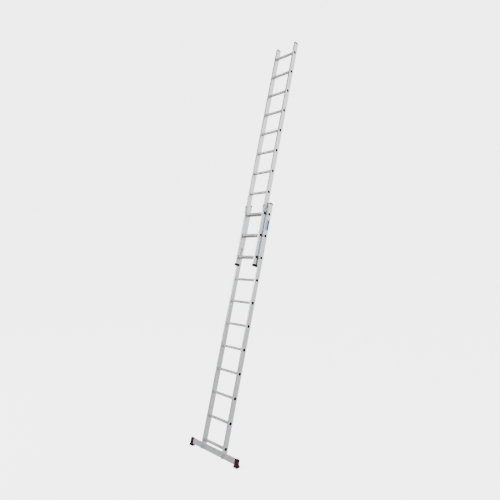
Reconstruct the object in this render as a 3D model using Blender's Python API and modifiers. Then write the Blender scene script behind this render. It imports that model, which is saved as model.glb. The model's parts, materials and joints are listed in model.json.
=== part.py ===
"""Two-section aluminium extension ladder, leaning as it stands in use.

Units are metres and +Z is up. The climbing side faces -Y and the ladder leans back towards +Y.
The base section stands on a stabiliser bar. The fly section nests between the base's stringers
on the climbing side and slides along them. Spring latches on the fly catch the base's rungs.
"""
import math

import bmesh
import bpy
from mathutils import Matrix

# Ladder
LEAN = math.radians(75.25)          # angle between the ladder and the floor
RUNG_PITCH = 0.280
RUNG_COUNT = 11
RUNGS_EXTENDED = 8                  # the lowest fly rung is level with base rung 9
BASE_RUNG_HEIGHT = 0.127            # lowest rung's centre above the floor
SECTION_STEP = 0.0515               # fly's mid plane in front of the base's mid plane
GAP = 0.0003                        # between pieces that touch

# Stringers: box extrusions, x across the ladder and y through it
BASE_WIDTH = 0.395
FLY_WIDTH = 0.336
STRINGER_DEPTH = 0.068
BASE_STRINGER_THICK = 0.021
FLY_STRINGER_THICK = 0.019
STRINGER_WALL = 0.0018
STRINGER_CORNER = 0.002
LIP_DEPTH = 0.0015                  # the outer flank is recessed between its two lips
LIP_WIDTH = 0.007
BASE_BELOW = 0.104                  # ends of the stringers beyond the end rungs' centres
BASE_ABOVE = 0.131
FLY_BELOW = 0.115
FLY_ABOVE = 0.129

# Rungs: square tubes with cut corners and flanged ends
RUNG_SIZE = 0.030
RUNG_CORNER = 0.006
RUNG_WALL = 0.0015
RUNG_FLANGE = 0.034
RUNG_FLANGE_THICK = 0.001

# Stabiliser bar and its feet
BAR_HEIGHT = 0.064
BAR_THICK = 0.022
BAR_WALL = 0.0018
BAR_CORNER = 0.003
BAR_LENGTH = 0.846
BAR_DROP = 0.0735                   # below the lowest rung's centre, along the ladder
FOOT_INNER = 0.378                  # from the middle of the ladder
FOOT_OUTER = 0.430
FOOT_WALL = 0.0035
FOOT_ROUND = 0.003
FOOT_SINK = 0.004                   # the foot's shaft ends this far above the sole's underside
SOCKET_START = 0.300                # cutter's inner end, well clear of the foot
SOLE_MARGIN = 0.007                 # the sole stands out of the foot all round
SOLE_TOP = 0.0205
PAD_HEIGHT = 0.008
PAD_GROOVE = 0.002
PAD_GROOVES = 3
PAD_INSET = 0.0015
BOLT_RADIUS = 0.004
HEX_RADIUS = 0.0075
BOLT_HEAD = 0.005
BOLT_END = 0.0115                   # thread beyond the stringer's back face
NUT_HEIGHT = 0.0065

# End caps, shoes and glides
CAP_EDGE = 0.0100                   # cap height at the front and back
CAP_CROWN = 0.020                   # cap height in the middle
CAP_PLUG = 0.018
CAP_ROUND = 0.0006
SHOE_WALL = 0.0012
SHOE_HEIGHT = 0.030
SHOE_FLOOR = 0.006
GLIDE_THICK = 0.006
GLIDE_HEIGHT = 0.080
GLIDE_WIDTH = 0.0125
GLIDE_SETBACK = 0.002               # from the stringer's back face
GLIDE_ROUND = 0.0015
GLIDE_DROP = 0.050                  # glide's middle below the lowest fly rung

# Guide brackets near the top of the base
GUIDE_PLATE = 0.003
GUIDE_HEIGHT = 0.090
GUIDE_CENTRE = 0.060                # above the top base rung's centre
GUIDE_FRONT = -0.091
GUIDE_LIP_END = -0.072
GUIDE_BACK = -0.018
GUIDE_INNER = 0.1432
RIVET_RADIUS = 0.0024
RIVET_HEAD_RADIUS = 0.0045
RIVET_HEAD = 0.0015
RIVET_TAIL_RADIUS = 0.0036
RIVET_TAIL = 0.0025
RIVET_SETBACK = 0.0065              # in from the plate's back edge

# Spring latches, beside the fly's two lowest rungs
PIVOT_BACK = 0.026                  # pivot behind the fly's mid plane
PIVOT_UP = 0.100                    # pivot above the lowest fly rung's centre
PIN_RADIUS = 0.004
PIN_END = 0.1285                    # head's outer face, from the middle of the ladder
PIN_HEAD_RADIUS = 0.0065
PIN_HEAD = 0.0025
PIN_CHAMFER = 0.001
PIN_TAIL_RADIUS = 0.006
PIN_TAIL = 0.002
HOOK_INNER = 0.1395
HOOK_THICK = 0.006
HOOK_BOSS = 0.010
SPRING_COIL = 0.0066
SPRING_WIRE = 0.0007
SPRING_TURNS = 4
SPRING_STEPS = 10                   # points in a turn
SPRING_END = 0.1325
SPRING_CLEAR = 0.0012               # between the hook and the first turn's middle
SPRING_LEG = 0.022
STOP_RADIUS = 0.0025
STOP_CHAMFER = 0.0005
STOP_TAIL_RADIUS = 0.0045
STOP_TAIL = 0.0015
STOP_FRONT = 0.0088                 # stop pin, in front of the hook's tail above the pivot
STOP_UP = 0.016

ROUND_STEPS = 16
HOLE_DEPTH = 0.020                  # length of a drill through one wall
WELD = 0.00001

BASE_INNER = BASE_WIDTH / 2 - BASE_STRINGER_THICK
FLY_OUTER = FLY_WIDTH / 2
FLY_INNER = FLY_OUTER - FLY_STRINGER_THICK


# ---------------------------------------------------------------- scene helpers

def clear_scene():
    """Remove every object that the scene holds."""
    for item in list(bpy.context.scene.objects):
        bpy.data.objects.remove(item, do_unlink=True)


def make_collection(name):
    group = bpy.data.collections.new(name)
    bpy.context.scene.collection.children.link(group)
    return group


def make_material(name, colour, roughness, metallic):
    material = bpy.data.materials.new(name)
    material.use_nodes = True
    shader = material.node_tree.nodes["Principled BSDF"]
    shader.inputs["Base Color"].default_value = (*colour, 1.0)
    shader.inputs["Roughness"].default_value = roughness
    shader.inputs["Metallic"].default_value = metallic
    material.diffuse_color = (*colour, 1.0)
    return material


def make_empty(name, parent, location, rotation=(0.0, 0.0, 0.0)):
    item = bpy.data.objects.new(name, None)
    PARTS.objects.link(item)
    item.parent = parent
    item.location = location
    item.rotation_euler = rotation
    return item


def add_part(name, mesh, material, parent, location=(0.0, 0.0, 0.0), rotation=(0.0, 0.0, 0.0)):
    """A named part from a mesh, shaded smooth where it is round, with its own copy of the material."""
    item = bpy.data.objects.new(name, mesh)
    PARTS.objects.link(item)
    item.parent = parent
    item.location = location
    item.rotation_euler = rotation
    own_material = material.copy()
    own_material.name = name
    mesh.materials.clear()
    mesh.materials.append(own_material)
    mesh.shade_smooth()
    mesh.set_sharp_from_angle(angle=math.radians(35))
    return item


def add_cutter(name, mesh, parent):
    item = bpy.data.objects.new(name, mesh)
    CUTTERS.objects.link(item)
    item.parent = parent
    item.display_type = "WIRE"
    item.hide_render = True
    return item


def cut(part, cutter):
    modifier = part.modifiers.new("Cut", "BOOLEAN")
    modifier.operation = "DIFFERENCE"
    modifier.solver = "EXACT"
    modifier.object = cutter


def unite(part, addition):
    modifier = part.modifiers.new("Join", "BOOLEAN")
    modifier.operation = "UNION"
    modifier.solver = "EXACT"
    modifier.object = addition


def bevel(part, width, segments=2):
    modifier = part.modifiers.new("Bevel", "BEVEL")
    modifier.width = width
    modifier.segments = segments
    modifier.limit_method = "ANGLE"
    modifier.angle_limit = math.radians(40)


# ---------------------------------------------------------------- mesh helpers

def finished(name, shape):
    """Turn a bmesh into a mesh whose faces point out."""
    bmesh.ops.recalc_face_normals(shape, faces=shape.faces)
    mesh = bpy.data.meshes.new(name)
    shape.to_mesh(mesh)
    shape.free()
    return mesh


def welded(name, loose):
    """A closed mesh from a curve's mesh, whose caps are loose."""
    shape = bmesh.new()
    shape.from_mesh(loose)
    bpy.data.meshes.remove(loose)
    bmesh.ops.remove_doubles(shape, verts=shape.verts, dist=WELD)
    return finished(name, shape)


def extruded(name, loops, length):
    """A flat outline with holes, extruded by length along z about its middle."""
    curve = bpy.data.curves.new(name, "CURVE")
    curve.dimensions = "2D"
    curve.fill_mode = "BOTH"
    curve.extrude = length / 2
    for loop in loops:
        spline = curve.splines.new("POLY")
        spline.points.add(len(loop) - 1)
        for point, (u, v) in zip(spline.points, loop):
            point.co = (u, v, 0.0, 1.0)
        spline.use_cyclic_u = True
    holder = bpy.data.objects.new(name, curve)
    bpy.context.scene.collection.objects.link(holder)
    view = bpy.context.evaluated_depsgraph_get()
    mesh = bpy.data.meshes.new_from_object(holder.evaluated_get(view))
    bpy.data.objects.remove(holder, do_unlink=True)
    bpy.data.curves.remove(curve)
    return welded(name, mesh)


def joined(name, pieces):
    """One mesh from (mesh, matrix) pairs. The pieces don't touch each other."""
    shape = bmesh.new()
    for mesh, matrix in pieces:
        placed = mesh.copy()
        placed.transform(matrix)
        shape.from_mesh(placed)
        bpy.data.meshes.remove(placed)
    return finished(name, shape)


def box(name, low, high):
    """A box between two corners."""
    shape = bmesh.new()
    size = [b - a for a, b in zip(low, high)]
    middle = [(a + b) / 2 for a, b in zip(low, high)]
    matrix = Matrix.Translation(middle) @ Matrix.Diagonal((*size, 1.0))
    bmesh.ops.create_cube(shape, size=1.0, matrix=matrix)
    return finished(name, shape)


def rod(name, radius, length, axis, middle, sides=ROUND_STEPS):
    """A cylinder, or a prism when it has few sides, along x, y or z."""
    turn = {
        "x": Matrix.Rotation(math.pi / 2, 4, "Y"),
        "y": Matrix.Rotation(-math.pi / 2, 4, "X"),
        "z": Matrix.Identity(4),
    }[axis]
    shape = bmesh.new()
    bmesh.ops.create_cone(
        shape,
        cap_ends=True,
        segments=sides,
        radius1=radius,
        radius2=radius,
        depth=length,
        matrix=Matrix.Translation(middle) @ turn,
    )
    return finished(name, shape)


def turned(name, profile):
    """A profile for a Screw modifier: (radius, height) from the top down the outer side."""
    shape = bmesh.new()
    points = [shape.verts.new((radius, 0.0, height)) for radius, height in profile]
    for first, second in zip(points, points[1:]):
        shape.edges.new((first, second))
    mesh = bpy.data.meshes.new(name)
    shape.to_mesh(mesh)
    shape.free()
    return mesh


def add_screw(part):
    modifier = part.modifiers.new("Turn", "SCREW")
    modifier.axis = "Z"
    modifier.steps = ROUND_STEPS
    modifier.render_steps = ROUND_STEPS
    modifier.use_merge_vertices = True
    modifier.merge_threshold = 0.00005
    modifier.use_smooth_shade = True


def cut_corner_ring(half_u, half_v, corner):
    """Eight points of a rectangle with cut corners."""
    u = half_u - corner
    v = half_v - corner
    return [
        (half_u, -v), (half_u, v), (u, half_v), (-u, half_v),
        (-half_u, v), (-half_u, -v), (-u, -half_v), (u, -half_v),
    ]


def rung_ring(half):
    """Outline of a rung, half its size from its middle."""
    return cut_corner_ring(half, half, RUNG_CORNER)


def arc(centre, radius, start, end, steps):
    """Points on an arc, with the angles in degrees."""
    points = []
    for step in range(steps + 1):
        angle = math.radians(start + (end - start) * step / steps)
        points.append((centre[0] + radius * math.cos(angle), centre[1] + radius * math.sin(angle)))
    return points


# ---------------------------------------------------------------- stringers and rungs

def stringer_outline(thick, side):
    """Box section with two lips on its outer flank. side is +1 for the right-hand stringer."""
    half = thick / 2
    deep = STRINGER_DEPTH / 2
    corner = STRINGER_CORNER
    lip = deep - LIP_WIDTH
    floor = half - LIP_DEPTH
    outer = [
        (-half, -deep + corner), (-half + corner, -deep),
        (half - corner, -deep), (half, -deep + corner),
        (half, -lip), (floor, -lip + LIP_DEPTH),
        (floor, lip - LIP_DEPTH), (half, lip),
        (half, deep - corner), (half - corner, deep),
        (-half + corner, deep), (-half, deep - corner),
    ]
    wall = STRINGER_WALL
    inner = [
        (-half + wall, -deep + wall), (floor - wall, -deep + wall),
        (floor - wall, deep - wall), (-half + wall, deep - wall),
    ]
    return [[(side * x, y) for x, y in loop] for loop in (outer, inner)]


def rung_holes(thick):
    """Cutter meshes, with their places, for one stringer's rung holes."""
    hole = extruded("rung_hole", [rung_ring(RUNG_SIZE / 2 + GAP)], thick * 2)
    turn = Matrix.Rotation(math.pi / 2, 4, "Y")
    return [(hole, Matrix.Translation((0, 0, n * RUNG_PITCH)) @ turn) for n in range(RUNG_COUNT)]


def make_stringer(name, side, width, thick, below, above, parent, extra_cuts):
    """One stringer with its rung holes. extra_cuts are (mesh, matrix) pairs on its centre line."""
    length = below + above + (RUNG_COUNT - 1) * RUNG_PITCH
    mesh = extruded(name, stringer_outline(thick, side), length)
    mesh.transform(Matrix.Translation((0, 0, length / 2 - below)))
    place = (side * (width - thick) / 2, 0, 0)
    part = add_part(name, mesh, ALUMINIUM, parent, place)
    cutter = add_cutter(name + "_cutter", joined(name + "_cutter", rung_holes(thick) + extra_cuts), part)
    cut(part, cutter)
    return part


def make_rung(name, width, parent, height):
    """A hollow rung through both stringers, with a flange on each recessed outer flank."""
    seat = width / 2 - LIP_DEPTH + GAP
    end = seat + RUNG_FLANGE_THICK
    body = RUNG_SIZE / 2
    stations = [
        (-end, RUNG_FLANGE / 2), (-seat, RUNG_FLANGE / 2), (-seat, body),
        (seat, body), (seat, RUNG_FLANGE / 2), (end, RUNG_FLANGE / 2),
        (end, body - RUNG_WALL), (-end, body - RUNG_WALL),
    ]
    shape = bmesh.new()
    rings = []
    for x, half in stations:
        rings.append([shape.verts.new((x, y, z)) for y, z in rung_ring(half)])
    for first, second in zip(rings, rings[1:] + rings[:1]):
        count = len(first)
        for n in range(count):
            shape.faces.new((first[n], first[(n + 1) % count], second[(n + 1) % count], second[n]))
    return add_part(name, finished(name, shape), RUNG_ALUMINIUM, parent, (0, 0, height))


def make_rungs(prefix, width, parent):
    for n in range(RUNG_COUNT):
        make_rung(f"{prefix}_rung_{n + 1:02d}", width, parent, n * RUNG_PITCH)


# ---------------------------------------------------------------- ends of the stringers

def make_top_cap(name, side, width, thick, above, material, parent):
    """Crowned end cap with a plug that sits in the stringer."""
    deep = STRINGER_DEPTH / 2
    rise = CAP_CROWN - CAP_EDGE
    radius = (deep * deep + rise * rise) / (2 * rise)
    half_angle = math.degrees(math.asin(deep / radius))
    crown = arc((0, CAP_CROWN - radius), radius, 90 - half_angle, 90 + half_angle, 8)
    mesh = extruded(name, [crown + [(-deep, GAP), (deep, GAP)]], thick)
    upright = Matrix.Rotation(math.pi / 2, 4, "Z") @ Matrix.Rotation(math.pi / 2, 4, "X")
    mesh.transform(upright)
    place = (side * (width - thick) / 2, 0, above + (RUNG_COUNT - 1) * RUNG_PITCH)
    part = add_part(name, mesh, material, parent, place)
    bevel(part, CAP_ROUND, 1)
    inner = thick / 2 - STRINGER_WALL - GAP
    outer = inner - LIP_DEPTH
    reach = deep - STRINGER_WALL - GAP
    low = (min(-side * inner, side * outer), -reach, -CAP_PLUG)
    high = (max(-side * inner, side * outer), reach, CAP_EDGE / 2)
    unite(part, add_cutter(name + "_plug", box("plug", low, high), part))
    return part


def make_shoe(name, side, parent):
    """Cup that covers the lower end of a fly stringer."""
    half = FLY_STRINGER_THICK / 2
    deep = STRINGER_DEPTH / 2
    outer_x = half + GAP + SHOE_WALL
    outer_y = deep + GAP + SHOE_WALL
    mesh = box(name, (-outer_x, -outer_y, -SHOE_FLOOR), (outer_x, outer_y, SHOE_HEIGHT - SHOE_FLOOR))
    place = (side * (FLY_OUTER - half), 0, -FLY_BELOW)
    part = add_part(name, mesh, BLACK_PLASTIC, parent, place)
    bevel(part, SHOE_WALL, 2)
    well = box("well", (-half - GAP, -deep - GAP, -GAP), (half + GAP, deep + GAP, SHOE_HEIGHT))
    cut(part, add_cutter(name + "_cutter", well, part))
    return part


def make_glide(name, side, parent):
    """Wear pad on the fly's outer flank that runs beside the base's stringer."""
    back = STRINGER_DEPTH / 2 - GLIDE_SETBACK
    front = back - GLIDE_WIDTH
    inner = FLY_OUTER + GAP
    low = (side * inner, front, -GLIDE_HEIGHT / 2)
    high = (side * (inner + GLIDE_THICK), back, GLIDE_HEIGHT / 2)
    mesh = box(name, [min(a, b) for a, b in zip(low, high)], [max(a, b) for a, b in zip(low, high)])
    part = add_part(name, mesh, BLACK_PLASTIC, parent, (0, 0, -GLIDE_DROP))
    bevel(part, GLIDE_ROUND, 2)
    return part


# ---------------------------------------------------------------- guide brackets

def make_guide(name, side, parent, top):
    """Plate beside the base's stringer that wraps round the front of the fly's stringer."""
    wall = BASE_INNER - GAP
    plate = GUIDE_PLATE
    outline = [
        (wall, GUIDE_BACK), (wall, GUIDE_FRONT + plate), (wall - plate, GUIDE_FRONT),
        (GUIDE_INNER, GUIDE_FRONT), (GUIDE_INNER, GUIDE_LIP_END),
        (GUIDE_INNER + plate, GUIDE_LIP_END), (GUIDE_INNER + plate, GUIDE_FRONT + plate),
        (wall - plate, GUIDE_FRONT + plate), (wall - plate, GUIDE_BACK),
    ]
    mesh = extruded(name, [[(side * x, y) for x, y in outline]], GUIDE_HEIGHT)
    part = add_part(name, mesh, STEEL, parent, (0, 0, top + GUIDE_CENTRE))
    holes = []
    for drop in rivet_offsets():
        middle = (side * wall, rivet_line(), drop)
        holes.append((rod("hole", RIVET_RADIUS + GAP, HOLE_DEPTH, "x", middle), Matrix.Identity(4)))
    cut(part, add_cutter(name + "_cutter", joined(name + "_cutter", holes), part))
    return part


def rivet_offsets():
    """Heights of a guide's rivets above and below its middle."""
    return (-GUIDE_HEIGHT / 3, GUIDE_HEIGHT / 3)


def rivet_line():
    """Depth of the rivets, behind the front of the base's stringer."""
    return GUIDE_BACK - RIVET_SETBACK


def make_rivet(name, side, parent, height):
    """Blind rivet through the guide plate and the stringer's inner wall."""
    shank = GUIDE_PLATE + 2 * GAP + STRINGER_WALL + GAP
    profile = [
        (0.0, RIVET_HEAD), (RIVET_HEAD_RADIUS * 2 / 3, RIVET_HEAD),
        (RIVET_HEAD_RADIUS, RIVET_HEAD * 0.4), (RIVET_HEAD_RADIUS, 0.0),
        (RIVET_RADIUS, 0.0), (RIVET_RADIUS, -shank), (RIVET_TAIL_RADIUS, -shank),
        (RIVET_TAIL_RADIUS, -shank - RIVET_TAIL), (0.0, -shank - RIVET_TAIL),
    ]
    head_x = side * (BASE_INNER - GAP - GUIDE_PLATE - GAP)
    part = add_part(name, turned(name, profile), STEEL, parent, (head_x, rivet_line(), height))
    part.rotation_euler = (0, -side * math.pi / 2, 0)
    add_screw(part)
    return part


# ---------------------------------------------------------------- stabiliser

def make_bar(parent):
    """Rectangular tube across the lower ends of the base's stringers."""
    outer = cut_corner_ring(BAR_HEIGHT / 2, BAR_THICK / 2, BAR_CORNER)
    inner = cut_corner_ring(BAR_HEIGHT / 2 - BAR_WALL, BAR_THICK / 2 - BAR_WALL, BAR_WALL)
    mesh = extruded("stabiliser_bar", [outer, inner], BAR_LENGTH)
    mesh.transform(Matrix.Rotation(math.pi / 2, 4, "Y"))
    part = add_part("stabiliser_bar", mesh, ALUMINIUM, parent, (0, 0, -BAR_DROP))
    holes = []
    for side in (-1, 1):
        middle = (side * bolt_offset(), 0, 0)
        holes.append((rod("hole", BOLT_RADIUS + GAP, BAR_THICK * 2, "y", middle), Matrix.Identity(4)))
    cut(part, add_cutter("stabiliser_bar_cutter", joined("stabiliser_bar_cutter", holes), part))
    return part


def bolt_offset():
    """Distance of a stringer's centre line from the middle of the ladder."""
    return (BASE_WIDTH - BASE_STRINGER_THICK) / 2


def make_bar_bolt(name, side, parent):
    """Hexagon bolt through the stringer's fork and the bar."""
    face = STRINGER_DEPTH / 2 + GAP
    length = 2 * face + BOLT_END
    middle = (0, -face + length / 2 - BOLT_HEAD / 2, 0)
    mesh = rod(name, HEX_RADIUS, BOLT_HEAD, "y", (0, -face - BOLT_HEAD / 2, 0), 6)
    part = add_part(name, mesh, ZINC, parent, (side * bolt_offset(), 0, -BAR_DROP))
    unite(part, add_cutter(name + "_shank", rod("shank", BOLT_RADIUS, length, "y", middle), part))
    return part


def make_bar_nut(name, side, parent):
    """Hexagon nut on the back of the stringer."""
    face = STRINGER_DEPTH / 2 + GAP
    middle = (0, face + NUT_HEIGHT / 2, 0)
    mesh = rod(name, HEX_RADIUS, NUT_HEIGHT, "y", middle, 6)
    part = add_part(name, mesh, ZINC, parent, (side * bolt_offset(), 0, -BAR_DROP))
    hole = rod("hole", BOLT_RADIUS + GAP, HOLE_DEPTH, "y", middle)
    cut(part, add_cutter(name + "_cutter", hole, part))
    return part


def lean_to_floor(y, z):
    """A point on the ladder's side profile, in the upright frame of the floor."""
    return (
        y * math.sin(LEAN) + z * math.cos(LEAN),
        -y * math.cos(LEAN) + z * math.sin(LEAN) + BASE_RUNG_HEIGHT,
    )


def sole_box(side, low, high):
    """The sole's box, standing out of the foot all round, between two heights."""
    centre, _ = lean_to_floor(0, -BAR_DROP - BAR_HEIGHT / 2)
    half = BAR_THICK / 2 + FOOT_WALL + SOLE_MARGIN
    near = side * (FOOT_INNER - SOLE_MARGIN)
    far = side * (FOOT_OUTER + SOLE_MARGIN)
    front = centre - half
    back = centre + half
    return (min(near, far), front, low), (max(near, far), back, high)


def make_foot(name, side, parent):
    """Moulded end of the stabiliser bar: a leaning socket on a level sole."""
    half_thick = BAR_THICK / 2 + FOOT_WALL
    top = -BAR_DROP + BAR_HEIGHT / 2 + FOOT_WALL
    bottom = -BAR_DROP - BAR_HEIGHT / 2
    corners = [(-half_thick, top), (half_thick, top), (half_thick, bottom), (-half_thick, bottom)]
    points = [lean_to_floor(y, z) for y, z in corners]
    shaft_bottom = PAD_HEIGHT + GAP + FOOT_SINK
    shift = (points[2][1] - shaft_bottom) / math.tan(LEAN)
    outline = points[:2]
    outline.append((points[2][0] - shift, shaft_bottom))
    outline.append((points[3][0] - shift, shaft_bottom))
    width = FOOT_OUTER - FOOT_INNER
    mesh = extruded(name, [outline], width)
    upright = Matrix.Rotation(math.pi / 2, 4, "Z") @ Matrix.Rotation(math.pi / 2, 4, "X")
    mesh.transform(Matrix.Translation((side * (FOOT_INNER + FOOT_OUTER) / 2, 0, 0)) @ upright)
    part = add_part(name, mesh, WINE_PLASTIC, parent)
    bevel(part, FOOT_ROUND, 2)
    low, high = sole_box(side, PAD_HEIGHT + GAP, SOLE_TOP)
    sole = add_cutter(name + "_sole", box("sole", low, high), part)
    bevel(sole, FOOT_ROUND, 2)
    unite(part, sole)
    end = BAR_LENGTH / 2 + GAP
    socket = box(
        "socket",
        (min(side * SOCKET_START, side * end), -BAR_THICK / 2 - GAP, -BAR_HEIGHT / 2 - GAP),
        (max(side * SOCKET_START, side * end), BAR_THICK / 2 + GAP, BAR_HEIGHT / 2 + GAP),
    )
    tilt = Matrix.Rotation(LEAN - math.pi / 2, 4, "X")
    y, z = lean_to_floor(0, -BAR_DROP)
    socket.transform(Matrix.Translation((0, y, z)) @ tilt)
    cut(part, add_cutter(name + "_socket", socket, part))
    return part


def make_foot_pad(name, side, parent):
    """Rubber pad under the sole, grooved across its length."""
    low, high = sole_box(side, 0.0, PAD_HEIGHT)
    front = low[1] + PAD_INSET
    back = high[1] - PAD_INSET
    rib = (back - front) / (2 * PAD_GROOVES + 1)
    outline = [(front, high[2]), (front, 0.0)]
    for n in range(1, 2 * PAD_GROOVES, 2):
        outline.append((front + n * rib, 0.0))
        outline.append((front + n * rib, PAD_GROOVE))
        outline.append((front + (n + 1) * rib, PAD_GROOVE))
        outline.append((front + (n + 1) * rib, 0.0))
    outline.append((back, 0.0))
    outline.append((back, high[2]))
    mesh = extruded(name, [outline], high[0] - low[0] - 2 * PAD_INSET)
    upright = Matrix.Rotation(math.pi / 2, 4, "Z") @ Matrix.Rotation(math.pi / 2, 4, "X")
    mesh.transform(Matrix.Translation(((low[0] + high[0]) / 2, 0, 0)) @ upright)
    return add_part(name, mesh, BLACK_RUBBER, parent)


# ---------------------------------------------------------------- latches

def hook_outline():
    """Side profile of a latch hook, from its pivot: (back, up)."""
    tail = [(0.001, 0.020), (-0.006, 0.020)]
    boss = arc((0.0, 0.0), HOOK_BOSS, 10, 84, 4) + tail + arc((0.0, 0.0), HOOK_BOSS, 123, 185, 4)
    return boss + [
        (-0.010, -0.030), (-0.008, -0.076), (-0.002, -0.083), (0.010, -0.0846),
        (0.0235, -0.0828), (0.0250, -0.0800), (0.0235, -0.0765), (0.0070, -0.050),
        (0.0070, -0.012),
    ]


def make_latch(name, side, pivot):
    """Hook that swings forward on its pin to let a rung pass."""
    mesh = extruded(name, [hook_outline()], HOOK_THICK)
    upright = Matrix.Rotation(math.pi / 2, 4, "Z") @ Matrix.Rotation(math.pi / 2, 4, "X")
    mesh.transform(upright)
    part = add_part(name, mesh, ZINC, pivot, (side * (HOOK_INNER + HOOK_THICK / 2), 0, 0))
    hole = rod("hole", PIN_RADIUS + GAP, HOOK_THICK * 3, "x", (0, 0, 0), 24)
    cut(part, add_cutter(name + "_cutter", hole, part))
    return part


def make_latch_pin(name, side, pivot):
    """Shouldered pin riveted into the stringer's inner wall. Its head keeps the spring on."""
    head = FLY_INNER - PIN_END
    tail = -(STRINGER_WALL + 2 * GAP)
    profile = [
        (0.0, head), (PIN_HEAD_RADIUS - PIN_CHAMFER, head), (PIN_HEAD_RADIUS, head - PIN_CHAMFER),
        (PIN_HEAD_RADIUS, head - PIN_HEAD), (PIN_RADIUS, head - PIN_HEAD), (PIN_RADIUS, tail),
        (PIN_TAIL_RADIUS, tail), (PIN_TAIL_RADIUS, tail - PIN_TAIL), (0.0, tail - PIN_TAIL),
    ]
    part = add_part(name, turned(name, profile), ZINC, pivot, (side * (FLY_INNER - GAP), 0, 0))
    part.rotation_euler = (0, -side * math.pi / 2, 0)
    add_screw(part)
    return part


def make_latch_stop(name, side, pivot):
    """Pin in front of the hook's tail that takes its push when the fly rests on a rung."""
    head = FLY_INNER - HOOK_INNER
    tail = -(STRINGER_WALL + 2 * GAP)
    profile = [
        (0.0, head), (STOP_RADIUS - STOP_CHAMFER, head), (STOP_RADIUS, head - STOP_CHAMFER),
        (STOP_RADIUS, tail), (STOP_TAIL_RADIUS, tail), (STOP_TAIL_RADIUS, tail - STOP_TAIL),
        (0.0, tail - STOP_TAIL),
    ]
    place = (side * (FLY_INNER - GAP), -STOP_FRONT, STOP_UP)
    part = add_part(name, turned(name, profile), ZINC, pivot, place)
    part.rotation_euler = (0, -side * math.pi / 2, 0)
    add_screw(part)
    return part


def make_latch_spring(name, side, pivot):
    """Torsion spring round the pin, between the hook and the pin's head."""
    start = HOOK_INNER - SPRING_CLEAR
    count = SPRING_TURNS * SPRING_STEPS
    points = [(side * start, SPRING_COIL, -SPRING_LEG)]
    for n in range(count + 1):
        angle = 2 * math.pi * n / SPRING_STEPS
        x = start + (SPRING_END - start) * n / count
        points.append((side * x, SPRING_COIL * math.cos(angle), SPRING_COIL * math.sin(angle)))
    points.append((side * SPRING_END, SPRING_COIL, -SPRING_LEG))
    curve = bpy.data.curves.new(name, "CURVE")
    curve.dimensions = "3D"
    curve.bevel_depth = SPRING_WIRE
    curve.bevel_resolution = 0
    curve.use_fill_caps = True
    spline = curve.splines.new("POLY")
    spline.points.add(len(points) - 1)
    for point, co in zip(spline.points, points):
        point.co = (*co, 1.0)
    holder = bpy.data.objects.new(name, curve)
    bpy.context.scene.collection.objects.link(holder)
    view = bpy.context.evaluated_depsgraph_get()
    mesh = bpy.data.meshes.new_from_object(holder.evaluated_get(view))
    bpy.data.objects.remove(holder, do_unlink=True)
    bpy.data.curves.remove(curve)
    return add_part(name, welded(name, mesh), SPRING_STEEL, pivot)


# ---------------------------------------------------------------- sections

def base_cuts(side):
    """Fork for the stabiliser bar, its bolt holes and the guide's rivet holes."""
    still = Matrix.Identity(4)
    reach = BASE_STRINGER_THICK
    slot_top = -BAR_DROP + BAR_HEIGHT / 2 + GAP
    half = BAR_THICK / 2 + GAP
    slot = box("slot", (-reach, -half, -2 * BASE_BELOW), (reach, half, slot_top))
    cuts = [(slot, still)]
    for depth in (-1, 1):
        middle = (0, depth * STRINGER_DEPTH / 2, -BAR_DROP)
        cuts.append((rod("hole", BOLT_RADIUS + GAP, HOLE_DEPTH, "y", middle), still))
    top = (RUNG_COUNT - 1) * RUNG_PITCH + GUIDE_CENTRE
    for drop in rivet_offsets():
        middle = (-side * BASE_STRINGER_THICK / 2, rivet_line(), top + drop)
        cuts.append((rod("hole", RIVET_RADIUS + GAP, HOLE_DEPTH / 2, "x", middle), still))
    return cuts


def fly_cuts(side):
    """Holes for the latch pin and its stop in the stringer's inner wall."""
    still = Matrix.Identity(4)
    wall = -side * FLY_STRINGER_THICK / 2
    pin = (wall, PIVOT_BACK, PIVOT_UP)
    stop = (wall, PIVOT_BACK - STOP_FRONT, PIVOT_UP + STOP_UP)
    return [
        (rod("hole", PIN_RADIUS + GAP, HOLE_DEPTH / 2, "x", pin), still),
        (rod("hole", STOP_RADIUS + GAP, HOLE_DEPTH / 2, "x", stop), still),
    ]


def make_base(root):
    section = make_empty("base_section", root, (0, 0, BASE_RUNG_HEIGHT), (LEAN - math.pi / 2, 0, 0))
    top = (RUNG_COUNT - 1) * RUNG_PITCH
    make_rungs("base", BASE_WIDTH, section)
    make_bar(section)
    for word, side in (("left", -1), ("right", 1)):
        make_stringer(
            f"base_stringer_{word}", side, BASE_WIDTH, BASE_STRINGER_THICK,
            BASE_BELOW, BASE_ABOVE, section, base_cuts(side),
        )
        make_top_cap(
            f"base_top_cap_{word}", side, BASE_WIDTH, BASE_STRINGER_THICK,
            BASE_ABOVE, WINE_PLASTIC, section,
        )
        make_guide(f"guide_bracket_{word}", side, section, top)
        for number, drop in enumerate(rivet_offsets(), 1):
            make_rivet(f"guide_rivet_{word}_{number}", side, section, top + GUIDE_CENTRE + drop)
        make_bar_bolt(f"bar_bolt_{word}", side, section)
        make_bar_nut(f"bar_nut_{word}", side, section)
        make_foot(f"stabiliser_foot_{word}", side, root)
        make_foot_pad(f"foot_pad_{word}", side, root)
    return section


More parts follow.
